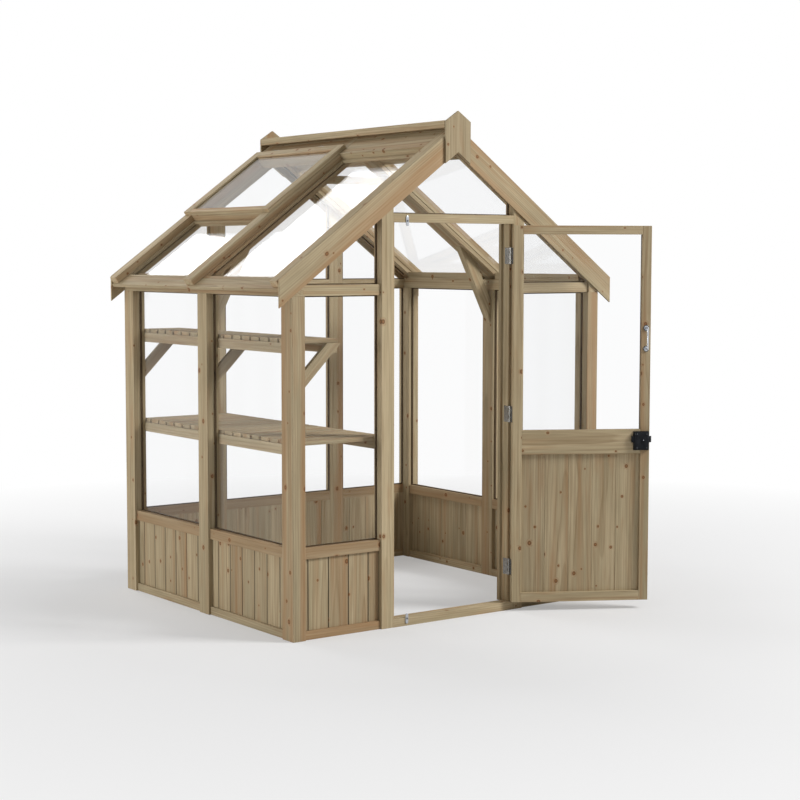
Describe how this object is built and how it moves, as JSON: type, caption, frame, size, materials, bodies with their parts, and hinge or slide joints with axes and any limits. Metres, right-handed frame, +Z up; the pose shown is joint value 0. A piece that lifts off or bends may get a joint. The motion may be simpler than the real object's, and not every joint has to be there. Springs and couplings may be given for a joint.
{
  "type": "wooden greenhouse",
  "caption": "Small timber greenhouse with a pitched glass roof, boarded lower walls, a hinged half-glazed door, a roof vent and slatted shelves inside.",
  "frame": {"origin": "on the ground, in the middle of the front face of the threshold", "axes": "+X to the right seen from the front, +Y to the back, +Z up"},
  "size_m": [1.886, 1.9184, 2.2852],
  "materials": {
    "frame_wood": "pressure-treated softwood, satin",
    "trim_wood": "pressure-treated softwood, satin",
    "glass": "clear",
    "zinc": "bright zinc",
    "black_metal": "matt black"
  },
  "bodies": {
    "house": {"corner_posts": "frame_wood", "side_posts": "frame_wood", "door_posts": "frame_wood", "rear_studs": "frame_wood", "sole_plates": "frame_wood", "threshold": "frame_wood", "sills": "frame_wood", "boards_left": "frame_wood", "boards_right": "frame_wood", "boards_front": "frame_wood", "boards_rear": "frame_wood", "eaves_plates": "frame_wood", "eaves_fillets": "trim_wood", "end_top_rails": "frame_wood", "transom": "frame_wood", "door_jambs": "frame_wood", "door_stops": "trim_wood", "side_glass": "glass", "front_glass": "glass", "rear_glass": "glass", "gable_glass": "glass", "wall_beads": "trim_wood", "gable_beads": "trim_wood", "end_rafters": "frame_wood", "mid_rafters": "frame_wood", "barge_boards": "frame_wood", "finials": "frame_wood", "ridge_board": "trim_wood", "ridge_cap": "frame_wood", "eaves_boards": "frame_wood", "roof_top_rails": "frame_wood", "vent_trimmer": "trim_wood", "roof_glass": "glass", "roof_beads": "trim_wood", "roof_battens": "trim_wood", "knee_braces": "frame_wood", "collar_tie": "frame_wood", "shelf_bearers": "frame_wood", "upper_slats": "frame_wood", "lower_slats": "frame_wood", "shelf_brackets": "frame_wood", "shelf_leg": "frame_wood", "hinge_frame_leaves": "zinc", "button_screws": "zinc", "vent_hinge_bases": "zinc"},
    "door": {"door_stiles": "frame_wood", "door_rails": "frame_wood", "door_boards": "frame_wood", "door_glass": "glass", "door_beads": "trim_wood", "hinge_door_leaves": "zinc", "pull_handle": "zinc", "latch_case": "black_metal"},
    "latch_bolt": {"latch_bolt": "black_metal"},
    "upper_button": {"upper_button": "zinc"},
    "lower_button": {"lower_button": "zinc"},
    "vent": {"vent_frame": "frame_wood", "vent_glass": "glass", "vent_hinge_leaves": "zinc"}
  },
  "joints": [
    {"name": "door_swing", "type": "hinge", "parent": "house", "child": "door", "pos_m": [0.3292, 0.0085, 0.9], "axis": [0, 0, 1], "range_deg": [-150.4, 12]},
    {"name": "latch_slide", "type": "slide", "parent": "door", "child": "latch_bolt", "axis": [-0.8695, 0.4939, 0], "range_m": [0, 0.0065], "stiffness_N_per_m": 300, "springref_m": -0.01},
    {"name": "upper_button_turn", "type": "hinge", "parent": "house", "child": "upper_button", "pos_m": [-0.267, -0.0018, 1.796], "axis": [0, 1, 0], "range_deg": [-90, 90]},
    {"name": "lower_button_turn", "type": "hinge", "parent": "house", "child": "lower_button", "pos_m": [-0.267, -0.0018, 0.033], "axis": [0, 1, 0], "range_deg": [-90, 90]},
    {"name": "vent_tilt", "type": "hinge", "parent": "house", "child": "vent", "pos_m": [-0.08953, 1.1, 2.16134], "axis": [0, 1, 0], "range_deg": [0, 38]}
  ]
}
